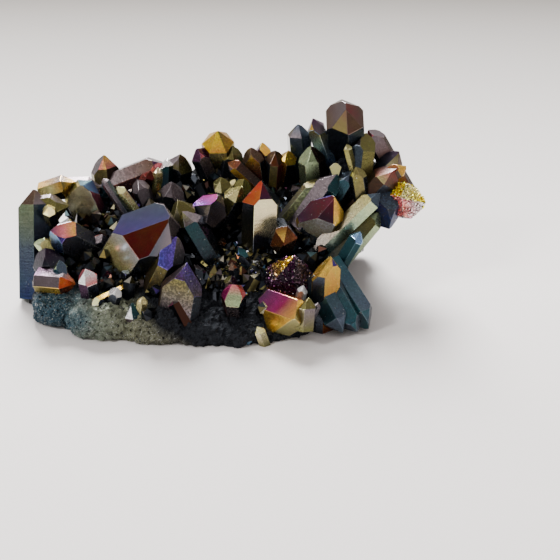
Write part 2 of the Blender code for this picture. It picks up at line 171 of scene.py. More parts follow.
RIM_TOP, RIM_FALL = 0.0092, 0.6      # height of the pale rim, m, and its fall to the right of RIM_END
RIM_END, RIM_BACK = -0.021, -0.0095  # how far right it keeps that height, and how far back it reaches, m
RIM_LEFT, RIM_ZONES = -0.041, 12.2   # left end of its colours, m, and how many times they would fit in a metre
RIM_WANDER = 0.012                   # range that its borders wander over, m
WANDER_SCALE, GRIT_SCALE, GRAIN_SCALE = 150, 3600, 1500   # bumps per m: its borders, fine grit, dark grains
GRAIN_FROM, GRIT_FROM = 0.6, 0.62    # noise above which grains are dark, and grit is pale
# near black away from the rim: painted shade for the gaps between the crystals
ROCK_PAINTED_SHADE = (0.03, 0.033, 0.039, 1)
GRAIN_DARK, GRAIN_PALE = (0.006, 0.006, 0.008, 1), (0.62, 0.64, 0.6, 1)


class Flow:
    """A node tree's value: expressions on it add Math nodes, and node() adds any other kind."""

    def __init__(self, tree, socket=None):
        self.tree, self.socket = tree, socket

    def node(self, kind, settings, sockets, output=0):
        """Adds a node: its settings first, then the values or links of its sockets. Returns one output."""
        made = self.tree.nodes.new(kind)
        for name, value in settings.items():
            if name == "stops":
                ramp = made.color_ramp
                while len(ramp.elements) < len(value):
                    ramp.elements.new(0.5)
                for element, (position, color) in zip(ramp.elements, value):
                    element.position, element.color = position, (*color, 1)
            elif name == "ramp":
                made.color_ramp.interpolation = value
            else:
                setattr(made, name, value)
        for name, value in sockets.items():
            if isinstance(value, Flow):
                self.tree.links.new(value.socket, made.inputs[name])
            else:
                made.inputs[name].default_value = value
        return Flow(self.tree, made.outputs[output] if made.outputs else None)

    def out(self, output):
        """Another output of the node that this value comes from."""
        return Flow(self.tree, self.socket.node.outputs[output])

    def math(self, operation, first, second=0.0, clamp=False):
        """A Math node on two values, which needn't be this one."""
        return self.node("ShaderNodeMath", {"operation": operation, "use_clamp": clamp}, {0: first, 1: second})

    def __add__(self, other):
        return self.math("ADD", self, other)

    def __sub__(self, other):
        return self.math("SUBTRACT", self, other)

    def __rsub__(self, other):
        return self.math("SUBTRACT", other, self)

    def __mul__(self, other):
        return self.math("MULTIPLY", self, other)

    __radd__, __rmul__ = __add__, __mul__

    def above(self, edge, softness):
        """0 below edge and 1 above it, over a soft step."""
        return self.math("DIVIDE", self - (edge - softness), 2 * softness, clamp=True)

    def blend(self, first, second):
        """Two colours mixed by this value."""
        return self.node("ShaderNodeMix", {"data_type": "RGBA"}, {0: self, 6: first, 7: second}, 2)


def film_colour(red, green, blue):
    """A film's colour, given as it looks on a screen, as linear light."""
    return tuple((c / 255 / 12.92) if c < 11 else ((c / 255 + 0.055) / 1.055) ** 2.4 for c in (red, green, blue))


def new_material(name):
    """An empty metal material: its tree's Flow, and its shader."""
    material = bpy.data.materials.new(name)
    material.use_nodes = True
    tree = material.node_tree
    return material, Flow(tree), tree.nodes["Principled BSDF"]


def feed(flow, shader, **sockets):
    """Links values to the shader's sockets, whose names are written with _ for a space."""
    for name, value in sockets.items():
        flow.tree.links.new(value.socket, shader.inputs[name.replace("_", " ")])


def noise_at(flow, coordinates, scale, detail=3.0, roughness=0.55):
    """Noise from 0 to 1 with scale bumps per unit of the coordinates."""
    return flow.node("ShaderNodeTexNoise", {}, {"Vector": coordinates, "Scale": scale, "Detail": detail,
                                                "Roughness": roughness})


def matrix_film():
    """Dull film over rough rock: teal then olive grains along the front rim, and near black everywhere else as painted
    shade between the crystals.
    """
    material, flow, shader = new_material("matrix_film")
    at = flow.node("ShaderNodeTexCoord", {}, {}, 3)
    wander = (noise_at(flow, at, WANDER_SCALE) - 0.5) * RIM_WANDER
    place = flow.node("ShaderNodeSeparateXYZ", {}, {"Vector": at})
    across, depth, height = place, place.out(1), place.out(2)
    zones = flow.node("ShaderNodeValToRGB", {"stops": [
        (0.03, film_colour(40, 62, 76)), (0.14, film_colour(74, 100, 110)), (0.2, film_colour(128, 136, 120)),
        (0.3, film_colour(134, 136, 112)), (0.4, film_colour(96, 94, 84)), (0.5, film_colour(70, 70, 66)),
        (0.85, film_colour(44, 46, 48))]}, {"Fac": (across + wander - RIM_LEFT) * RIM_ZONES})
    fall = (across - RIM_END).math("MAXIMUM", across - RIM_END, 0.0) * RIM_FALL
    rim = (RIM_TOP - height - fall + wander * 0.5).above(0.0, 0.0012)
    rim = rim * (RIM_BACK - depth + wander).above(0.0, 0.002)
    grit = noise_at(flow, at, GRIT_SCALE, 3.0, 0.7)
    dark = noise_at(flow, at, GRAIN_SCALE, 3.0, 0.65).above(GRAIN_FROM, 0.05)
    grains = dark.blend(zones, GRAIN_DARK)
    grains = grit.above(GRIT_FROM, 0.05).blend(grains, GRAIN_PALE)
    # outside the bare rim the rock is painted near black as shade
    colour = rim.blend(ROCK_PAINTED_SHADE, grains)
    bump = flow.node("ShaderNodeBump", {}, {"Strength": 0.9, "Distance": 0.0004, "Height": grit})
    feed(flow, shader, Base_Color=colour, Roughness=grit * 0.3 + 0.32, Normal=bump)
    shader.inputs["Metallic"].default_value = 1.0
    return material


matrix.data.materials.clear()
matrix.data.materials.append(matrix_film())
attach(matrix, "root")

# ---------------------------------------------------------------------------
# Quartz points
# Six-sided quartz crystals with six tip faces, grown out of the rock and into
# each other. A vapour-coated metal film gives every face its own colour, with
# painted glints and painted shade mixed into it.
# ---------------------------------------------------------------------------
LEAN_BACK = math.radians(28)         # how far the frame of the crystal table leans back from upright
FRAME_HEIGHT = 6.8                   # height of that frame's origin above the flat cut, mm
TIP_SLOPE = math.radians(51.79)      # angle between a tip face's normal and the crystal's axis
BLOCK_SIZE = 120.0                   # block that a crystal is cut from
WELD = 0.004                         # corners closer than this are one
EDGE_WIDTH = 0.05                    # bevelled edges, lightened as a painted highlight
EDGE_HIGHLIGHT_GAIN, EDGE_HIGHLIGHT_LIFT = 1.5, 0.05     # painted highlight: how much lighter the film is on the bevels
TIP_UNEVEN, TIP_SECOND = (0.0, 0.22), 0.16   # how far tip faces lie past the tip point, as parts of the width
SIDE_UNEVEN = (0.85, 1.2)            # how far out each side lies, likewise
GROWTH_STEP = (0.37, 0.73)           # shift of a crystal's growth lines for each corner made before it
GROWTH_SPAN = 50                     # where that shift starts again
TIP_LINES = 0.25                     # how close growth lines lie on tip faces, as a part of that on sides

# Tip point, axis (clock, lean, spin) and widths are as in the solid's table. Frost is how rough the faces are.
# Films: t is all tip faces and p all sides, then t0 to t5 and p0 to p5 one by one. Each has a letter for the
# film's colour and a digit for its brightness, - runs down the face, / across it, and | is a sudden change.
# The digits carry painted light and shade as well as the film's own tone; 8 and 9 mostly give painted glints.
# Letters: straw, gold, bronze, orange, red, magenta, pink (k), plum, violet, navy, azure, steel (e), teal, fern,
# olive (l), cream, white, heather, umber, yellow, and z for near black: painted shade on most sides.
Point = namedtuple("Point", "name tip axis width length frost films tips sides", defaults=(None, None))
PLAIN_BRIGHTNESS = 5                 # the digit that leaves a film's colour as it is
FILM_LAYERS = ("film_a", "film_b", "film_c")   # attributes with the three colours of a face
SIDE_TURN = 60                       # degrees from one side of a crystal to the next

FILM = {
    "s": film_colour(232, 222, 150), "g": film_colour(214, 168, 66), "b": film_colour(132, 74, 36),
    "o": film_colour(214, 92, 44), "r": film_colour(116, 34, 32), "m": film_colour(176, 40, 110),
    "k": film_colour(208, 112, 114), "p": film_colour(70, 34, 66), "v": film_colour(96, 74, 168),
    "n": film_colour(26, 38, 76), "a": film_colour(112, 148, 184), "e": film_colour(78, 92, 106),
    "t": film_colour(44, 86, 94), "f": film_colour(140, 154, 116), "l": film_colour(118, 112, 62),
    "c": film_colour(220, 208, 164), "w": film_colour(232, 232, 230), "h": film_colour(120, 108, 112),
    "u": film_colour(86, 64, 50), "y": film_colour(236, 200, 24), "z": film_colour(48, 53, 62),
}

POINTS = [
    # LEFT
    Point("left_wall", (-49.6, 18.2, -4), (90, 5, 0), 3.2, 22, 0.2,
          "t h4, t1 u6-u4, t2 u5-h4, p1 f4-e5-n6, p2 e4-n4, p z5",
          (0.4, 0.5, 0.6, 0.4, -0.3, 0.4), (3.3, 2.8, 2.9, 3.2, 3.2, 3.2)),
    Point("straw_back", (-37.2, 19.1, -9), (2, 0, 30), 2, 9.5, 0.3,
          "t h4, t1 h4-l4, p0 h5-p4, p1 h4-u3, p2 u3-z5, p z5", (0.3, 0.3, 0.3, 0.3, 0.3, 0.3), (2, 2, 2, 2, 2, 2)),
    Point("straw_shoulder", (-42.1, 19.9, -6.5), (18, 8, 30), 2.2, 7.2, 0.3,
          "t g4, t0 g5-h4, t1 g5-l4, t2 l5-g4, p0 h4-g5, p1 g5-s5-l5, p2 u3-z5, p z5",
          (0.2, 0.5, 0.2, 0.5, 0.2, 0.5), (1.9, 2.2, 2.2, 2.2, 2.2, 2.2)),
    Point("olive_shelf", (-42.9, 15, -3.5), (8, 10, 30), 2.2, 8, 0.25,
          "t l6, t0 l5-h5, t1 l7-l6, t2 l6-l5, p0 h4-u4, p1 l7-l6, p2 u4-z5, p z5",
          (0.3, 0.3, 0.3, 0.3, 0.3, 0.3), (2.8, 1.9, 2.6, 2.2, 2.2, 2.2)),
    Point("glint_left", (-46.2, 14.5, 1.2), (92, 62, 0), 1.2, 8, 0.1,
          "t y6-s6, t1 y8-s8, t0 s6, t2 s5, p1 l5-z5, p2 z5, p z5"),
    Point("olive_block", (-39.8, 17.6, -4), (100, 74, 16), 4.4, 18, 0.15,
          "t l8, t1 c7-c6, t2 k5-p5, t3 a3-n5, t4 t5, p z5, p2 z5-u3",
          (1.3, -0.7, 0.3, 0.8, 1.5, 1.5), (4.2, 4.9, 4, 2.8, 3.5, 3.5)),
    Point("slim_bar", (-35.9, 20.5, -4), (123, 15, 30), 0.9, 15, 0.2,
          "t h6, p0 h4, p1 h6-e4, p2 e3-z5, p z5"),
    Point("plum_left", (-45, 9.9, 3), (150, 40, 20), 2.9, 13, 0.25,
          "t h4, t0 a4-n5, t1 p6-v4, t2 p8-k4-g4, t3 h4, p z5, p0 t3-z4"),
    Point("pale_stub", (-49, 7.2, 1), (172, 25, 30), 1.2, 12, 0.3,
          "t f7, p0 f5-l4, p1 s6-l5, p2 s5-l4, p z5"),
    Point("low_bar", (-40.5, -0.6, 5), (355, 8, 30), 2, 7.6, 0.2,
          "t o6, t0 o6-h5, t1 o7-o5, t2 o5-u4, p0 h5-p4, p1 h6-h5, p2 g5-l5, p z5"),
    Point("teal_stub", (-43.5, 3.7, 5), (95, 25, 0), 1.6, 9, 0.2,
          "t f5, t2 e5, p1 t6-n4, p2 t5-z4, p z5"),
    Point("white_spark", (-37.8, 2.1, 8), (95, 35, 0), 1.8, 10, 0.3,
          "t k6, t1 w9, t2 w9-k8, p z5, p1 p4-z5"),
    Point("dark_left", (-46.7, 5.9, 3), (100, 35, 20), 2.9, 8, 0.2,
          "t p2-z5, t1 p2-z5, p z3"),
    # MIDDLE LEFT
    Point("front_point", (-22.8, 12.4, 10), (50, 54, 13), 4.5, 20, 0.02,
          "t h4, t0 v2/e3, t1 b3-r3, t2 z6/h3, t3 h5, p1 w9-s9-s9, p0 z4, p2 z6, p z5",
          (-0.9, -0.4, 0.9, 1.2, 1.2, 1.6), (6.6, 5.4, 5.8, 4.4, 4.4, 5.4)),
    Point("violet_point", (-20.1, 8, 8), (61, 35, 31), 3, 14, 0.7,
          "t p4, t0 v7, t1 v7-v6, t2 h4-z5, p0 l5-u4, p1 l5-u5, p z5",
          (0.1, -0.3, -0.2, 0.5, 0.5, 0.5), (2.5, 3.6, 3, 2.6, 2.4, 2.4)),
    Point("pitted_point", (-18.2, 2.7, 9), (80, 17, 14), 3.4, 16, 0.88,
          "t p5, t0 h5-u5, t1 v4-p4, t2 v4-h3, p1 l7-h6-l7, p2 z6, p0 u5, p z5",
          (0.4, 0.6, 0.3, 0.5, 0.8, 0.6), (4.1, 2.5, 4.2, 3.4, 3.4, 3.4)),
    Point("yellow_stub", (-26.5, -3.3, 10), (80, 30, 0), 0.9, 8, 0.6,
          "t s6, p s5-l4"),
    Point("steel_stub", (-28.9, -4.9, 9), (100, 30, 0), 2.3, 5, 0.3,
          "t e5, t1 w6, t2 t3, p1 h4, p2 t2-z5, p z5"),
    Point("straw_splinter", (-36.3, -5, 9.5), (208, 45, 0), 1.1, 9, 0.2,
          "t s9, p s6-g6, p2 g6, p z5"),
    Point("white_splinter", (-31.7, -1.6, 9), (70, 30, 20), 1.2, 9, 0.3,
          "t w8, p w6-h5, p z5"),
    # TOP EDGE
    Point("rose_tip", (-36.8, 25.5, -12), (95, 20, 20), 2.5, 17, 0.5,
          "t k4, t1 k4/g4, t2 g4-k3, t0 h4, p l5-u4, p1 l6-h5, p2 u3-z5"),
    Point("grey_lying", (-24, 24.2, -13), (21, 5, 10), 2.3, 15, 0.3,
          "t h5, t1 p5, t2 k5, p1 u5-h5, p2 h4-k4, p z5"),
    Point("rust_tip", (-26.8, 22.5, -10), (60, 30, 0), 1.3, 12, 0.3,
          "t r4, p r3-u3"),
    Point("cream_tip", (-25.2, 23.1, -10), (85, 30, 0), 1, 12, 0.3,
          "t c7, p s5-l4"),
    Point("bottle_tip", (-23.5, 25.1, -12), (88, 10, 30), 1.3, 13, 0.2,
          "t w6, p1 t3-z5, p t2"),
    Point("mauve_cap", (-20.8, 25.8, -13), (75, 35, 20), 2.4, 11, 0.3,
          "t h5, t1 h5-l4, t2 l4, p z5"),
    Point("straw_bar", (-33.1, 18.9, -5), (125, 30, 0), 1.1, 10, 0.3,
          "t s7, p1 s7, p2 s5-l4, p z5"),
    Point("grey_streak", (-29.3, 20.5, -8), (110, 25, 40), 1.6, 10, 0.4,
          "t h5, p h4-z5"),
    Point("grey_dome", (-22.1, 19.6, -7), (85, 40, 20), 2.2, 12, 0.6,
          "t h4, t1 h5, p z5"),
    Point("gold_knob", (-13, 30.9, -9), (92, 52, 30), 3, 13, 0.3,
          "t g5, t1 y8-g6, t0 g5-y5, t2 l6-g5, p0 b4-z5, p1 s6-l6-z4, p2 l4-z5", (0, 0, 0, 0, -0.2, -0.2)),
    Point("magenta_tip", (-17, 27.1, -11), (115, 35, 40), 1.9, 14, 0.3,
          "t p6, t1 m3-k4, p z5, p1 h5|z5"),
    Point("olive_tip", (-9.6, 27.8, -12), (80, 30, 30), 2.3, 13, 0.25,
          "t l5, t1 l6, t2 l4, p1 z5, p2 t5-z4, p z5"),
    Point("mauve_spire", (-3.8, 28.3, -13), (95, 20, 0), 1.7, 16, 0.2,
          "t p5, t1 p6, t2 g7, p1 b4-z5, p z5"),
    Point("gold_tip", (-6, 27.1, -11), (100, 30, 20), 2, 11, 0.3,
          "t u5, t1 u6-g3, p1 g4-k3-z5, p z5"),
    Point("brown_splinter", (-10.5, 24.3, -9), (138, 15, 0), 1.4, 13, 0.3,
          "t u5, t1 h4, t2 b3, p1 g4-u4, p2 u4-z5, p z5"),
    Point("brown_tip", (-1, 26.5, -11), (85, 35, 30), 1.8, 10, 0.4,
          "t u5, t1 b3, p1 s3-g3, p2 k3, p z5"),
    Point("tan_tip", (1.9, 26.6, -12), (80, 35, 0), 1.7, 10, 0.3,
          "t g3, p1 g3-u4, p z5"),
    Point("slate_spire", (3.7, 32.8, -12), (95, 30, 10), 2.3, 16, 0.2,
          "t l4-h4, t1 e4-h4, t2 e4, p0 w5-t5, p1 e6-t6, p2 e5-z4", (0.2, 0.2, 0.2, 0.1, -0.5, -0.4)),
    Point("ice_prism", (6.8, 32.8, -8), (112, 24, 50), 1.9, 16, 0.25,
          "t p5, t1 p5-h4, t0 g4, p0 l6-a7-e6, p1 l6-a6-e5, p2 e5, p z6",
          (0.6, 0.2, 0.3, 0.4, 0.4, 0.2), (1.9, 2.3, 1.7, 1.9, 1.9, 1.8)),
    Point("sage_tip", (6.5, 27.1, -6), (95, 25, 30), 2.5, 11, 0.3,
          "t f5, t0 f6, t1 f6-f4, t2 u3, p0 f5-z4, p1 f4-z5, p2 u3-z5"),
    Point("tower", (12.8, 35.1, 1), (97, 60, -5), 3.9, 18, 0.12,
          "t u4, t0 h4-u6, t1 u7-l4, t2 u5-u4, t3 r4-u4, t4 h4, p1 e2-z5, p2 e4-z4, p z5",
          (-0.5, 0.3, 0.6, 0, 0.2, 0.5), (3.8, 3.7, 4.2, 3.8, 3.4, 4.2)),
    Point("straw_needle", (13.5, 27.3, -3), (105, 15, 0), 0.8, 16, 0.3,
          "t s6, p1 l6-s4, p2 l4-z5, p z5"),
    Point("olive_needle", (15.4, 22.5, -1), (100, 20, 20), 1.3, 13, 0.3,
          "t l6, p1 l5-z4, p z5"),
    Point("slate_prism", (17.3, 29.7, -5), (84, 10, 0), 2.6, 14, 0.25,
          "t h4, t2 l4, p1 e4-z4, p2 l5-l4, p z5"),
    Point("pink_tip", (18.4, 30.7, -7), (122, 20, 30), 1.8, 16, 0.35,
          "t k5, t1 k6, t2 h5, p0 p5-u4, p1 h5-b4, p2 u4, p z5"),
    Point("dusk_blade", (23.9, 26, -6), (58, 30, 40), 2.2, 14, 0.15,
          "t p3, t0 p2-z5, t1 l6-c5, t2 u3, p0 e3, p1 e3-z5, p z5",
          (-0.2, 0, 0.3, 0.5, 0.5, 0.5), (2.7, 2.2, 2.2, 2, 2, 2)),
    Point("lemon_facet", (11.2, 23.5, -2), (90, 40, 30), 1.1, 12, 0.2,
          "t s7, t1 s8, p z5", (0.3, -0.5, 0.3, 0.2, 0.2, 0.2)),
    Point("rust_beam", (23.2, 22.4, -3), (45, 20, 20), 2.8, 20, 0.4,
          "t k4, t1 k6-s4, t0 h3-b3, t2 r4-u4, p1 u5-u4, p0 u3, p z5"),
    Point("tan_stub", (25.5, 23.1, -4), (30, 10, 0), 1.4, 11, 0.5,
          "t g5, p1 b5-u4, p2 u3-e3"),
    Point("sugar_point", (29.2, 15.4, -4), (350, 25, 0), 3.2, 11, 0.95,
          "t y9, t1 y9-s9, t0 y9-s8, t2 w8-k9, t3 w8-m6, p0 y8-s8, p1 y8-k8-u3, p2 k8-u3, p z5"),
    Point("navy_lump", (22, 10.9, -3), (280, 22, 10), 3.2, 9, 0.8,
          "t n6, t1 n6-z5, p1 e5-n5, p n5-z5"),
    Point("long_beam", (19.7, 17.3, -1), (44, 10, 0), 1.9, 21, 0.3,
          "t e5, p1 l3-h3, p2 f8-e7, p z5"),
    Point("grey_beam", (19.8, 13.9, -3), (50, 5, 20), 2.1, 18, 0.3,
          "t f4, p1 l4-e3, p0 f4-e4, p2 f5-e3, p z5"),
    Point("teal_tip", (15.9, 9.4, 1), (60, 20, 0), 1.4, 13, 0.2,
          "t a8, p1 t5-t3, p2 t3-z4"),
    Point("lobe_right", (17.1, -9.1, 5), (302, 18, 0), 2.6, 15, 0.35,
          "t e4, t1 e4-t4, t2 t3-z4, p1 e6-t5, p2 t5-z4"),
    Point("lobe_middle", (14.9, -9.8, 6.5), (300, 12, 30), 2, 13, 0.35,
          "t e4, t1 t4, p1 t6-e4, p0 t5-z4, p2 t4-z4"),
    Point("lobe_left", (12.3, -10, 7), (298, 12, 0), 2.3, 12, 0.4,
          "t e4, p1 e5-t4, p2 t4-z5"),
    # CENTRE
    Point("ember", (-3.8, 19.4, 0), (88, 19, 50), 3, 17, 0.15,
          "t r4, t0 o4-o3, t1 r3-p4, t2 z4, p1 c5|z5, p0 z4-l2, p z5",
          (0, 0.2, 0.3, 0.5, 0.5, 0.4), (3, 2.4, 3.6, 3, 3, 3.4)),
    Point("lilac_point", (-13.5, 15, 1), (81, 72, 22), 2.6, 14, 0.15,
          "t h4, t5 v8/m8, t0 h5-e4, t3 l5-h4, t2 z5-h3, p z5",
          (0.3, 1.5, -0.1, 0.8, 1.5, 0.3), (4.4, 3.4, 2.8, 2.6, 3, 4)),
    Point("olive_centre", (-8.1, 18.6, -4), (60, 30, 20), 2.1, 10, 0.3,
          "t l6, t1 s6, p1 l5-l3, p z5"),
    Point("cap_a", (-12, 20.6, -6), (90, 40, 10), 1.7, 12, 0.3,
          "t l5, t1 s5, p1 l3-z5, p z5"),
    Point("cap_b", (-7.5, 20.4, -6), (80, 40, 30), 1.8, 12, 0.3,
          "t l6, t1 s5, p1 l3-z5, p z5"),
    Point("teal_centre", (-19.1, 13.4, 1), (120, 20, 30), 2.4, 12, 0.3,
          "t l4, t1 l5-h4, t2 h4, p1 t2-z4, p2 z5, p z5"),
    Point("olive_cap", (-20.4, 15.6, 0), (110, 35, 0), 2.4, 11, 0.3,
          "t l4, t1 c4-l4, t2 l4, p1 z5, p z5"),
    Point("toffee", (0.8, 7.1, 4), (290, 74, 20), 2.4, 12, 0.25,
          "t u5, t0 b4, t1 g4-b3, t2 b3, p z5"),
    Point("rosy_point", (-8.9, -1.4, 11), (92, 52, 22), 2.3, 12, 0.3,
          "t m5, t0 m5-m4, t1 k5-f5-f6, t2 o5-k5, t3 o5-k4, t4 u4, p1 h4|z5, p0 r3-z4, p2 z6, p z5",
          (0.2, -0.4, 0.3, 0.5, 0.5, 0.5), (2.3, 2.2, 2, 2, 2, 2.2)),
    Point("gilt_point", (2, -7.1, 14), (309, 80, 38), 4.2, 18, 0.2,
          "t g5, t1 g5-m3-p9, t2 g6-g4, t3 s4-l5, t4 l6, t5 l6-g4, p0 o4-g4, p z5",
          (1.5, -0.3, 0, 0.4, 1.5, 0.9), (3.4, 5.6, 4.6, 4.3, 3.4, 3.4)),
    Point("sugared_point", (2.9, 3.9, 7), (75, 35, 20), 3.6, 14, 0.95,
          "t p4, t1 p4-p3-p2, t2 h3-p3, t0 g5-p4, p1 p4-p2, p p3-z4"),
    Point("amber_point", (9.4, 4.4, 8), (88, 20, 68), 2.4, 15, 0.25,
          "t g4, t5 g4, t0 g4-g3, t1 v3, p0 e2-z5, p1 g3-b4, p5 g3-z4, p z5",
          (0.2, 0.7, 0.5, 0.5, 0.3, -0.3), (2.8, 1.9, 2.4, 2.4, 2.4, 3.1)),
    Point("cream_point", (5.4, -3.8, 12), (85, 15, 0), 1.8, 6, 0.35,
          "t l5, p1 c3-l4, p2 h4-l3, p z5"),
    Point("white_slab", (7.4, -4.5, 10), (65, 10, 20), 0.7, 4.5, 0.5,
          "t h5, p h3-e3"),
    Point("white_chip", (4.5, -1.2, 9), (75, 30, 30), 0.9, 8, 0.4,
          "t w9, p w5-h4"),
    Point("ice_chip", (-6, -10.3, 9), (80, 25, 10), 1.2, 5, 0.4,
          "t w9, t1 a9, p a7-t5"),
    Point("pale_chip", (-4.3, -9.1, 9.5), (110, 10, 0), 1, 6, 0.3,
          "t s7, p c6-l4"),
    # RIGHT CENTRE
    Point("maroon_point", (10.2, 16, 2), (66, 51, 35), 3, 18, 0.45,
          "t u3, t0 r3-p3, t1 r3-p2, t2 g6-g5, t5 v5-u4, t3 u4, p1 w7-c9-e8, p0 g4-l3, p2 l5-u5, p z5",
          (-0.3, -0.1, 0.3, 0.8, 0.8, 0.5), (5, 2.7, 3.6, 3.2, 3.2, 3.6)),
    Point("pitted_bar", (8.5, 20.1, -4), (50, 15, 30), 2.2, 13, 0.85,
          "t l5, p1 f5-l5, p0 l4-z4, p2 l4-z5"),
    Point("lilac_bar", (11.3, 20.9, -2), (55, 15, 0), 2.5, 13, 0.3,
          "t h5, t1 h5, t2 t3, p1 h5-h4, p2 t3-z4, p z5"),
    Point("grey_bar", (14.3, 21.6, -3), (60, 20, 30), 2.1, 12, 0.3,
          "t e5, p1 t4-e4, p z5"),
]


def standing(point):
    """A point of the leaning frame, in upright axes above the flat cut."""
    across, up, out = point
    return Vector((across, up * math.sin(LEAN_BACK) - out * math.cos(LEAN_BACK),
                   FRAME_HEIGHT + up * math.cos(LEAN_BACK) + out * math.sin(LEAN_BACK)))


def leaning(point):
    """The reverse of standing."""
    height = point[2] - FRAME_HEIGHT
    return Vector((point[0], point[1] * math.sin(LEAN_BACK) + height * math.cos(LEAN_BACK),
                   height * math.sin(LEAN_BACK) - point[1] * math.cos(LEAN_BACK)))


def axis_frame(clock, lean):
    """The crystal's axis and two directions square to it, in the leaning frame."""
    c, l = math.radians(clock), math.radians(lean)
    return (Vector((math.cos(l) * math.cos(c), math.cos(l) * math.sin(c), math.sin(l))),
            Vector((-math.sin(c), math.cos(c), 0.0)),
            Vector((-math.sin(l) * math.cos(c), -math.sin(l) * math.sin(c), math.cos(l))))


def uneven(point):
    """How far past the tip point each tip face lies, and how far out each side: no two faces grow alike."""
    draw = random.Random(f"{point.name} {point.width}")
    tips = [point.width * (draw.uniform(*TIP_UNEVEN) + (i % 2) * TIP_SECOND) for i in range(6)]
    sides = [point.width * draw.uniform(*SIDE_UNEVEN) for _ in range(6)]
    return point.tips or tips, point.sides or (sides if point.tips is None else (point.width,) * 6)


def point_planes(point):
    """Name, normal and distance of each plane that bounds a crystal."""
    axis, side, front = axis_frame(*point.axis[:2])
    tip = Vector(point.tip)
    past, sides = uneven(point)
    tips, prism = [], []
    for i in range(6):
        turn = math.radians(point.axis[2] + SIDE_TURN * i)
        radial = math.cos(turn) * side + math.sin(turn) * front
        slope = math.sin(TIP_SLOPE) * radial + math.cos(TIP_SLOPE) * axis
        tips.append((f"t{i}", slope, slope.dot(tip) + past[i]))
        prism.append((f"p{i}", radial, radial.dot(tip) + sides[i]))
    return tips + prism + [("root", -axis, point.length - axis.dot(tip))]


def face_films(films):
    """The films text as a dict of face name to (three colours, across or down, sudden or gradual)."""
    found = {}
    for item in films.split(","):
        face, paint = item.split()
        mark = next((m for m in "|/-" if m in paint), "-")
        stops = [[c * int(stop[1]) / PLAIN_BRIGHTNESS for c in FILM[stop[0]]] for stop in paint.split(mark)]
        if len(stops) == 1:
            stops = stops * 3
        elif len(stops) == 2:
            middle = [(a + b) / 2 for a, b in zip(*stops)]
            stops = [stops[0], middle, stops[1]]
        found[face] = (stops, mark)
    return found


def add_point(bm, point, layers):
    """Cuts a block down to one crystal in a mesh of its own, bevels and colours it, lighter on the bevels as a painted
    highlight, and adds it to bm.
    """
    cell = bmesh.new()
    bmesh.ops.create_cube(cell, size=BLOCK_SIZE)
    bmesh.ops.translate(cell, verts=cell.verts, vec=point.tip)
    names = cell.faces.layers.int.new("name")
    order = []
    for name, normal, distance in point_planes(point):
        bmesh.ops.bisect_plane(cell, geom=cell.verts[:] + cell.edges[:] + cell.faces[:],
                               plane_co=normal * distance, plane_no=normal, clear_outer=True)
        rim = [edge for edge in cell.edges if edge.is_boundary]
        order.append(name)
        if rim:
            for face in bmesh.ops.contextual_create(cell, geom=rim)["faces"]:
                face[names] = len(order)
    bmesh.ops.remove_doubles(cell, verts=cell.verts, dist=WELD)
    for v in cell.verts:
        v.co = standing(v.co)
    if min(v.co.z for v in cell.verts) < 0:
        bmesh.ops.bisect_plane(cell, geom=cell.verts[:] + cell.edges[:] + cell.faces[:],
                               plane_co=(0, 0, 0), plane_no=(0, 0, -1), clear_outer=True)
        bmesh.ops.contextual_create(cell, geom=[edge for edge in cell.edges if edge.is_boundary])
    bmesh.ops.recalc_face_normals(cell, faces=cell.faces)
    highlit_bevels = set(bmesh.ops.bevel(cell, geom=cell.edges[:], offset=EDGE_WIDTH, segments=1, affect="EDGES",
                               clamp_overlap=True)["faces"])
    axis = (standing(axis_frame(*point.axis[:2])[0]) - standing((0, 0, 0))).normalized()
    films = face_films(point.films)
    shift = Vector([len(bm.verts) * step % GROWTH_SPAN for step in GROWTH_STEP])
    corners = {v: bm.verts.new(v.co) for v in cell.verts}
    for face in cell.faces:
        name = order[face[names] - 1] if face[names] else "root"
        stops, mark = films.get(name) or films.get(name[0]) or films.get("p1") or films["t"]
        # the bevels' film is lightened as a painted highlight along the edges
        if face in highlit_bevels:
            stops = [[min(1.0, c * EDGE_HIGHLIGHT_GAIN + EDGE_HIGHLIGHT_LIFT) for c in stop] for stop in stops]
        across = face.normal.cross(axis)
        across = across.normalized() if across.length > 0.01 else Vector((1, 0, 0))
        down = across.cross(face.normal)
        if across.x < 0:
            across = -across
        if down.dot(axis) > 0:
            down = -down
        along = across if mark == "/" else down
        reach = [along.dot(v.co) for v in face.verts]
        low, span = min(reach), max(max(reach) - min(reach), 0.001)
        made = bm.faces.new([corners[v] for v in face.verts])
        stretch = 1.0 if name[0] == "p" else TIP_LINES
        for loop in made.loops:
            co = loop.vert.co
            loop[layers["growth"]].uv = (across.dot(co) + shift.x, down.dot(co) * stretch + shift.y)
            for key, stop in zip(FILM_LAYERS, stops):
                extra = {"film_a": (along.dot(co) - low) / span, "film_b": point.frost,
                         "film_c": 1.0 if mark == "|" else 0.0}[key]
                loop[layers[key]] = (*stop, extra)
    cell.free()


SMALL_POINTS = 30                    # short crystals grown over the rock between the large ones
SMALL_FIELD = ((-46, 12), (-8, 22))  # where they stand: left to right and front to back
SMALL_LENGTH, SMALL_WIDTH, SMALL_BURIED = (3.0, 5.5), (0.8, 1.5), 1.5
SMALL_CLOCK, SMALL_LEAN = (40, 140), (10, 70)   # which ways they point
SMALL_SEED = 12
BACK_POINTS = 28                     # crystals leaning out along the back edge and the two ends
BACK_FROM = 11                       # first corner of ROCK_EDGE behind the right end
BACK_LENGTH, BACK_WIDTH, BACK_BURIED = (5.5, 9.0), (1.3, 2.8), 4.0
BACK_RISE = (0.25, 0.95)             # how steeply they rise, and how far up the rock's edge they stand
BACK_TURNED = 1.8                    # how much more they point back than sideways
BACK_SCATTER = (-0.3, 0.3)           # how far each departs from that
BACK_SEED = 24
PAINT_SEED = 100                     # added to a seed for the draws of films
PLAIN_FROST = 0.3
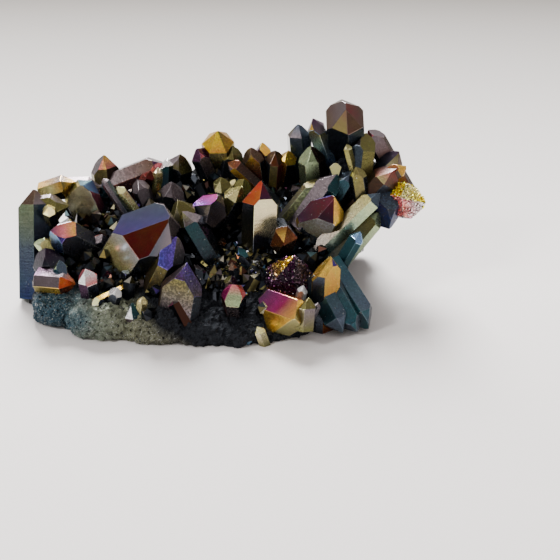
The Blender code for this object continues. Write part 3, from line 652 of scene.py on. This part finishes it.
PLAIN_FILMS = [                      # films of the crystals that have none of their own
    "t p3, t0 l4, t1 h3, p z5, p1 u3-z5", "t e4, t1 t4, t2 a4, p z5, p1 e2-z5", "t l4, t1 l5, t2 g4, p z5, p1 l3-z5",
    "t u4, t1 b4, t3 h4, p z5, p2 u3-z5", "t z5, t1 v3, t4 p4, p z5", "t s5, t1 c5, t2 l4, p l2-z5",
    "t h3, t1 e4, t5 k4, p z5", "t t3, t1 n5, t2 t5, p z5, p1 t2-z5",
]


def small_points():
    """Short crystals grown over the rock, leaning every way about its surface."""
    draw, paint = random.Random(SMALL_SEED), random.Random(SMALL_SEED + PAINT_SEED)
    for _ in range(SMALL_POINTS):
        x, y = (draw.uniform(*span) for span in SMALL_FIELD)
        length, width = draw.uniform(*SMALL_LENGTH), draw.uniform(*SMALL_WIDTH)
        clock, lean, spin = draw.uniform(*SMALL_CLOCK), draw.uniform(*SMALL_LEAN), draw.uniform(0, SIDE_TURN)
        tip_at = leaning((x, y, rock_top(y))) + axis_frame(clock, lean)[0] * (length - SMALL_BURIED)
        yield Point("small", tip_at, (clock, lean, spin), width, length, PLAIN_FROST, paint.choice(PLAIN_FILMS))


def back_points():
    """Crystals that lean out of the rock along its back edge and its two ends."""
    draw, paint = random.Random(BACK_SEED), random.Random(BACK_SEED + PAINT_SEED)
    edge = ROCK_EDGE[BACK_FROM:]
    for i in range(BACK_POINTS):
        along = (i + draw.uniform(0.1, 0.9)) / BACK_POINTS * (len(edge) - 1)
        start = int(along)
        x, y, top = (a + (b - a) * (along - start) for a, b in zip(edge[start], edge[start + 1]))
        rise = draw.uniform(*BACK_RISE)
        outward = Vector((x - ROCK_CENTRE[0], (y - ROCK_CENTRE[1]) * BACK_TURNED, 0)).normalized()
        outward = (outward + Vector((draw.uniform(*BACK_SCATTER), draw.uniform(*BACK_SCATTER), rise))).normalized()
        length, width = draw.uniform(*BACK_LENGTH), draw.uniform(*BACK_WIDTH)
        tip_at = leaning(Vector((x, y, top * rise)) + outward * (length - BACK_BURIED))
        axis = leaning(outward) - leaning((0, 0, 0))
        clock, lean = math.degrees(math.atan2(axis.y, axis.x)), math.degrees(math.asin(axis.z))
        spin = draw.uniform(0, SIDE_TURN)
        yield Point("back", tip_at, (clock, lean, spin), width, length, PLAIN_FROST, paint.choice(PLAIN_FILMS))


def grown_points(grown):
    """A mesh of the crystals, with the film colours and growth lines of their faces."""
    bm = bmesh.new()
    layers = {key: bm.loops.layers.float_color.new(key) for key in FILM_LAYERS}
    layers["growth"] = bm.loops.layers.uv.new("growth")
    for point in grown:
        add_point(bm, point, layers)
    return bm


points = placed(grown_points([*POINTS, *small_points(), *back_points()]), "quartz_points")
for v in points.data.vertices:
    v.co.z = max(v.co.z, 0.0)        # the cut underneath is flat

LINE_SCALE = (0.12, 2.6, 1)          # bumps of the growth lines across and down a face, per mm
BROAD_SCALE, PATCH_SCALE = 300, 700  # bumps per m: slow changes of colour, and patches
PIT_SCALE, SPARK_SCALE = 2400, 2600  # likewise: pits, and sparks painted pale as glints
BAND_WANDER = 0.22                   # how far the colours of a face wander, as a part of its length
PIT_FROM, PIT_COVER = 0.47, 0.75     # noise above which frost is pitted, and how much of the film a pit's painted shade hides
SPARK_FROM = 0.73                    # noise above which a painted glint shows
# painted shade in the pits, and the pale colour of the painted glints
PIT_PAINTED_SHADE, PAINTED_GLINT_COLOUR = (0.022, 0.022, 0.022, 1), (0.9, 0.86, 0.8, 1)


def crystal_film():
    """Mirror film over quartz: the three colours of each face, with growth lines, frost, pits darkened as painted
    shade and pale sparks as painted glints.
    """
    material, flow, shader = new_material("crystal_film")
    at = flow.node("ShaderNodeTexCoord", {}, {}, 3)
    growth = flow.node("ShaderNodeUVMap", {"uv_map": "growth"}, {})
    first = flow.node("ShaderNodeAttribute", {"attribute_name": "film_a"}, {})
    second = flow.node("ShaderNodeAttribute", {"attribute_name": "film_b"}, {})
    third = flow.node("ShaderNodeAttribute", {"attribute_name": "film_c"}, {})
    sudden, frost = third.out(3), second.out(3)
    broad = noise_at(flow, at, BROAD_SCALE)
    place = first.out(3) + (broad - 0.5) * BAND_WANDER
    place = place + (place.above(0.5, 0.06) - place) * sudden
    upper = (place * 2.0).math("MINIMUM", place * 2.0, 1.0)
    lower = place.math("MAXIMUM", place * 2.0 - 1.0, 0.0)
    film = lower.blend(upper.blend(first, second), third)
    lines = growth.node("ShaderNodeMapping", {"vector_type": "POINT"}, {"Vector": growth, "Scale": LINE_SCALE})
    lines = noise_at(flow, lines, 1.0, 4.0, 0.6)
    pits = noise_at(flow, at, PIT_SCALE, 3.0, 0.65)
    patches = noise_at(flow, at, PATCH_SCALE, 2.0, 0.5)
    film = flow.node("ShaderNodeHueSaturation", {}, {
        "Hue": (broad - 0.5) * 0.1 + 0.5,
        "Value": (lines - 0.5) * 0.3 + (patches - 0.5) * 0.2 + 1.0, "Color": film})
    pitted = frost * pits.above(PIT_FROM, 0.05)
    # pits are darkened with a painted shade
    film = (pitted * PIT_COVER).blend(film, PIT_PAINTED_SHADE)
    # pale sparks, more on frosted faces: painted glints
    painted_glints = noise_at(flow, at, SPARK_SCALE, 2.0, 0.5).above(SPARK_FROM, 0.015) * (frost * 0.7 + 0.1)
    film = painted_glints.blend(film, PAINTED_GLINT_COLOUR)
    height = lines * 0.25 + pits * (frost * 1.6 + 0.05)
    bump = flow.node("ShaderNodeBump", {}, {"Strength": 0.5, "Distance": 0.00012, "Height": height})
    feed(flow, shader, Base_Color=film, Roughness=frost * 0.35 + patches * 0.14 + 0.1, Normal=bump)
    shader.inputs["Metallic"].default_value = 0.86
    return material


points.data.materials.clear()
points.data.materials.append(crystal_film())
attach(points, "root")
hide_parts("quartz_cluster")

# ---------------------------------------------------------------------------
# Druse
# Small quartz crystals that carpet the rock between the large points, finer in
# the hollow in the middle, and as sugar on two of the points. The same film.
# Many are painted near black as the shade between the points, and a few facets pale as painted glints.
# ---------------------------------------------------------------------------
LID_TOP, LID_MIDDLE = 0.5, 1.2       # only the middle of a prism's lid is higher than the first and within the second
LID_DRAWN = (0.12, 0.05, 0.6)        # how far it is drawn out into a tip, a little to one side


def crystal_growth():
    """Geometry nodes that grow pointed six-sided crystals over a mesh, densest where a named field is high."""
    tree = bpy.data.node_groups.new("crystal_growth", "GeometryNodeTree")
    inputs = (("Ground", "Geometry"), ("Field", "String"), ("Density", "Float"), ("Smallest", "Float"),
              ("Largest", "Float"), ("Slenderness", "Float"), ("Tilt", "Float"), ("Seed", "Int"), ("Film", "Material"))
    for name, kind in inputs:
        tree.interface.new_socket(name, in_out="INPUT", socket_type="NodeSocket" + kind)
    tree.interface.new_socket("Crystals", in_out="OUTPUT", socket_type="NodeSocketGeometry")
    flow = Flow(tree)
    ground = flow.node("NodeGroupInput", {}, {})
    field, density, smallest, largest, slenderness, tilt, seed, film = (ground.out(i) for i in range(1, 9))
    prism = flow.node("GeometryNodeMeshCylinder", {"fill_type": "TRIANGLE_FAN"}, {"Vertices": 6})
    corner = flow.node("GeometryNodeInputPosition", {}, {})
    middle = LID_MIDDLE - flow.node("ShaderNodeVectorMath", {"operation": "LENGTH"}, {0: corner}, "Value")
    above = flow.node("ShaderNodeSeparateXYZ", {}, {"Vector": corner}, 2)
    top = middle.math("GREATER_THAN", middle, 0.0) * above.math("GREATER_THAN", above, LID_TOP)
    crystal = flow.node("GeometryNodeSetPosition", {}, {
        "Geometry": prism, "Selection": top, "Offset": LID_DRAWN})
    thick = flow.node("GeometryNodeInputNamedAttribute", {"data_type": "FLOAT"}, {"Name": field}) * density
    spots = flow.node("GeometryNodeDistributePointsOnFaces", {"distribute_method": "RANDOM"},
                      {"Mesh": ground, "Density": thick, "Seed": seed})
    upright = flow.node("FunctionNodeAlignRotationToVector", {"axis": "Z"}, {"Vector": spots.out("Normal")})
    lean = flow.node("FunctionNodeRandomValue", {"data_type": "FLOAT_VECTOR"},
                     {0: (-1, -1, -3), 1: (1, 1, 3), "Seed": seed})
    lean = flow.node("ShaderNodeVectorMath", {"operation": "SCALE"}, {0: lean, "Scale": tilt})
    rotation = flow.node("FunctionNodeRotateRotation", {"rotation_space": "LOCAL"}, {
        "Rotation": upright, "Rotate By": flow.node("FunctionNodeEulerToRotation", {}, {0: lean})})
    chance = flow.node("FunctionNodeRandomValue", {"data_type": "FLOAT"}, {2: 0.0, 3: 1.0, "Seed": seed + 1.0}, 1)
    size = (largest - smallest) * chance * chance + smallest
    scale = flow.node("ShaderNodeCombineXYZ", {}, {0: size, 1: size, 2: size * slenderness})
    grown = flow.node("GeometryNodeInstanceOnPoints", {}, {
        "Points": spots, "Instance": crystal, "Rotation": rotation, "Scale": scale})
    tone = flow.node("FunctionNodeRandomValue", {"data_type": "FLOAT"}, {2: 0.0, 3: 1.0, "Seed": seed + 2.0}, 1)
    grown = flow.node("GeometryNodeStoreNamedAttribute", {"data_type": "FLOAT", "domain": "INSTANCE"},
                      {"Geometry": grown, "Name": "tone", "Value": tone})
    grown = flow.node("GeometryNodeRealizeInstances", {}, {"Geometry": grown})
    facet = flow.node("FunctionNodeRandomValue", {"data_type": "FLOAT"}, {2: 0.0, 3: 1.0, "Seed": seed + 3.0}, 1)
    grown = flow.node("GeometryNodeStoreNamedAttribute", {"data_type": "FLOAT", "domain": "FACE"},
                      {"Geometry": grown, "Name": "facet", "Value": facet})
    grown = flow.node("GeometryNodeSetMaterial", {}, {"Geometry": grown, "Material": film})
    flow.node("NodeGroupOutput", {}, {"Crystals": grown})
    return tree


def grow(name, ground, **values):
    """A mesh of small crystals over the ground, as a piece of its own."""
    obj = bpy.data.objects.new(name, ground.data)
    bpy.context.collection.objects.link(obj)
    growth = obj.modifiers.new("growth", "NODES")
    growth.node_group = GROWTH
    for socket in GROWTH.interface.items_tree:
        if socket.name in values:
            growth[socket.identifier] = values[socket.name]
    applied(obj)
    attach(obj, "root")


def add_field(mesh, name, strength):
    """Stores strength(position in mm, normal) at each corner of a mesh."""
    field = mesh.attributes.new(name, "FLOAT", "POINT")
    field.data.foreach_set("value", [strength(v.co / MM, v.normal) for v in mesh.vertices])


def druse_film(name, shades, painted_shade_share):
    """Film over small crystals: each facet has a tone of its own, some pale as painted glints, and some crystals are
    painted near black all over as the shade between the points.
    """
    material, flow, shader = new_material(name)
    facet = flow.node("ShaderNodeAttribute", {"attribute_name": "facet"}, {}, 2)
    tone = flow.node("ShaderNodeAttribute", {"attribute_name": "tone"}, {}, 2)
    shade = flow.node("ShaderNodeValToRGB", {"stops": shades, "ramp": "CONSTANT"}, {"Fac": facet})
    colour = tone.above(painted_shade_share, 0.1).blend(DRUSE_PAINTED_SHADE, shade)
    feed(flow, shader, Base_Color=colour, Roughness=tone * 0.2 + 0.12)
    shader.inputs["Metallic"].default_value = 0.95
    return material


# near black of the crystals painted as shade in the gaps, and of the darkest facets
DRUSE_PAINTED_SHADE = (0.024, 0.027, 0.033, 1)
PAINTED_SHADE_FACET = film_colour(42, 46, 53)
# facet colours of the carpet: near black is painted shade, and the pale gold stop near the top is a painted glint
CARPET_SHADES = [
    (0.0, PAINTED_SHADE_FACET), (0.4, film_colour(44, 40, 36)), (0.5, film_colour(70, 66, 50)), (0.6, film_colour(40, 52, 60)),
    (0.68, film_colour(84, 76, 78)), (0.75, film_colour(112, 104, 66)), (0.82, film_colour(84, 54, 44)),
    (0.88, film_colour(70, 92, 96)), (0.93, film_colour(150, 146, 134)), (0.965, film_colour(206, 186, 112)),
    (0.985, film_colour(150, 84, 120))]
# facet colours of the finest crystals: near black is painted shade, and the palest stops are painted glints
NEST_SHADES = [
    (0.0, PAINTED_SHADE_FACET), (0.35, film_colour(70, 68, 64)), (0.5, film_colour(124, 122, 116)), (0.6, film_colour(84, 80, 124)),
    (0.66, film_colour(156, 148, 100)), (0.74, film_colour(52, 82, 106)), (0.8, film_colour(190, 184, 164)),
    (0.88, film_colour(232, 222, 142)), (0.94, film_colour(240, 240, 242))]
NEST = Vector((2.4, -5.2, 9.5))      # middle of the hollow with the finest crystals
NEST_REACH = 8.5
FRONT, RIGHT = -10.0, 20.0           # beyond these lines the crystals stand farther apart
SPARSE = 0.16                        # how many of them stand there, as a part of the carpet
AROUND_NEST, THIN = 0.7, 0.35        # part of the hollow where the carpet is thin too, and what is left of it
FACING = (1.6, 0.35)                 # how crowded by how far the rock faces up: slope, and value where it is upright
FOOT = 4.6                           # none starts lower above the ground than this, mm


def bare(at):
    """How far inside the bare rim a place is: 0 outside it."""
    top = RIM_TOP / MM - max(0.0, at.x - RIM_END / MM) * RIM_FALL
    return min(1.0, max(0.0, top - at.z)) * min(1.0, max(0.0, (RIM_BACK / MM - at.y) / 2))


def carpet_field(at, normal):
    """How crowded the carpet of crystals is at a place on the rock."""
    facing = min(1.0, max(0.0, normal.z * FACING[0] + FACING[1]))
    if (at - NEST).length < NEST_REACH * AROUND_NEST:
        crowded = THIN
    else:
        crowded = SPARSE if at.y < FRONT or at.x > RIGHT else 1.0
    return facing * (1.0 - bare(at)) * crowded * (at.z > FOOT)


def nest_field(at, normal):
    """How crowded the finest crystals are: most in the middle of the hollow."""
    return max(0.0, 1.0 - (at - NEST).length / NEST_REACH) * (normal.z > 0.1) * (at.z > FOOT)


GROWTH = crystal_growth()
add_field(matrix.data, "carpet", carpet_field)
add_field(matrix.data, "nest", nest_field)
grow("druse", matrix, Field="carpet", Density=330000.0, Smallest=0.00055, Largest=0.0017, Slenderness=1.5,
     Tilt=0.5, Seed=3, Film=druse_film("druse_film", CARPET_SHADES, 0.38))
grow("nest", matrix, Field="nest", Density=3200000.0, Smallest=0.0003, Largest=0.0009, Slenderness=1.9,
     Tilt=0.75, Seed=8, Film=druse_film("nest_film", NEST_SHADES, 0.18))

SUGARED = 0.92                       # points with more frost than this are coated with tiny crystals
SUGAR_FOOT = 0.5                     # from this height above the ground, mm
SUGAR_BELOW = 0.7                    # how far down faces may turn and still carry it
# colour of the palest few facets: a painted glint
SUGAR_PAINTED_GLINT = (0.8, 0.75, 0.7, 1)


def sugar_film():
    """The film of the point underneath, lighter or darker on each facet, and the palest few facets painted pale as
    glints.
    """
    material, flow, shader = new_material("sugar_film")
    tip = flow.node("ShaderNodeAttribute", {"attribute_name": "film_a"}, {})
    root = flow.node("ShaderNodeAttribute", {"attribute_name": "film_c"}, {})
    facet = flow.node("ShaderNodeAttribute", {"attribute_name": "facet"}, {}, 2)
    film = tip.out(3).blend(tip, root)
    film = flow.node("ShaderNodeHueSaturation", {}, {
        "Hue": facet * 0.08 + 0.46, "Saturation": 1.1, "Value": facet * facet * 2.6 + 0.15, "Color": film})
    # the palest few facets take a painted glint
    feed(flow, shader, Base_Color=facet.above(0.97, 0.01).blend(film, SUGAR_PAINTED_GLINT))
    shader.inputs["Roughness"].default_value = 0.18
    shader.inputs["Metallic"].default_value = 0.85
    return material


bm = grown_points(point for point in POINTS if point.frost > SUGARED)
bmesh.ops.bisect_plane(bm, geom=bm.verts[:] + bm.edges[:] + bm.faces[:], plane_co=(0, 0, SUGAR_FOOT),
                       plane_no=(0, 0, 1), clear_inner=True)
coated = placed(bm, "coated")
add_field(coated.data, "sugar", lambda at, normal: min(1.0, max(0.0, normal.z + SUGAR_BELOW)))
grow("sugar", coated, Field="sugar", Density=9000000.0, Smallest=0.00012, Largest=0.00032, Slenderness=1.0,
     Tilt=0.5, Seed=5, Film=sugar_film())
bpy.data.objects.remove(coated)

# ---------------------------------------------------------------------------
# Studio
# A pale seamless floor under a pale tent: light comes from above and behind,
# and the side of the camera stays dim, which keeps upright faces dark. Far
# behind the cluster the floor is painted dark as shade.
# ---------------------------------------------------------------------------
FLOOR_REACH, FLOOR_DROP = 3.0, 0.00003       # m; the drop keeps it clear of the flat cut
# pale near the cluster, and painted dark far behind it as the shade where the light falls off
PAPER_NEAR, PAPER_FAR_SHADE = (0.86, 0.82, 0.80, 1), (0.13, 0.12, 0.108, 1)
PAPER_FADE = (0.1, 0.1)              # where one becomes the other behind the cluster, and half the way it takes, m
BACKDROP = (0.86, 0.82, 0.805, 1)
BACKDROP_SEEN = 1.55                 # strength of the tent where the camera sees it
LAMP_AIM = Vector((0, 0, 0.01))      # m
CAMERA_REACH = 311.1                 # from the origin of the leaning frame, mm

corners = [(x * FLOOR_REACH, y * FLOOR_REACH, 0) for x, y in ((-1, -1), (1, -1), (1, 1), (-1, 1))]
floor_mesh = bpy.data.meshes.new("floor")
floor_mesh.from_pydata(corners, [], [(0, 1, 2, 3)])
floor = bpy.data.objects.new("floor", floor_mesh)
bpy.context.collection.objects.link(floor)
floor.location.z = -FLOOR_DROP
paper, flow, shader = new_material("floor_paper")
place = flow.node("ShaderNodeTexCoord", {}, {}, 3)
away = flow.node("ShaderNodeSeparateXYZ", {}, {"Vector": place}, 1).above(*PAPER_FADE)
# pale near the cluster, painted shade far behind it
feed(flow, shader, Base_Color=away.blend(PAPER_NEAR, PAPER_FAR_SHADE))
shader.inputs["Roughness"].default_value = 0.9
shader.inputs["Specular IOR Level"].default_value = 0.1
floor.data.materials.append(paper)

world = bpy.data.worlds.new("tent")
bpy.context.scene.world = world
world.use_nodes = True
sky = Flow(world.node_tree)
toward = sky.node("ShaderNodeTexCoord", {}, {}, 0)
parts = sky.node("ShaderNodeSeparateXYZ", {}, {"Vector": toward})
height, depth = parts.out(2), parts.out(1)
glow = (height * 0.75 + depth * 0.75).above(0.3, 0.6) * 0.6 + 0.4
seen = sky.node("ShaderNodeLightPath", {}, {}, 0)
glow = glow + (BACKDROP_SEEN - glow) * seen
background = world.node_tree.nodes["Background"]
background.inputs["Color"].default_value = BACKDROP
world.node_tree.links.new(glow.socket, background.inputs["Strength"])


def softbox(name, at, size, power):
    """A square lamp aimed at the cluster."""
    lamp = bpy.data.lights.new(name, "AREA")
    lamp.size, lamp.energy = size, power
    obj = bpy.data.objects.new(name, lamp)
    bpy.context.collection.objects.link(obj)
    obj.location = at
    obj.rotation_euler = (LAMP_AIM - Vector(at)).to_track_quat("-Z", "Y").to_euler()


softbox("back_softbox", (-0.1, 0.5, 0.42), 0.3, 17)
softbox("key_lamp", (-0.5, -0.25, 0.5), 0.12, 2.5)

lens = bpy.data.cameras.new("camera")
lens.lens, lens.sensor_width = 100, 36       # mm
lens.clip_start, lens.clip_end = 0.01, 20
camera = bpy.data.objects.new("camera", lens)
bpy.context.collection.objects.link(camera)
camera.location = (standing((0, 0, CAMERA_REACH)) - MIDDLE) * MM
camera.rotation_euler = (math.pi / 2 - LEAN_BACK, 0, 0)
bpy.context.scene.camera = camera
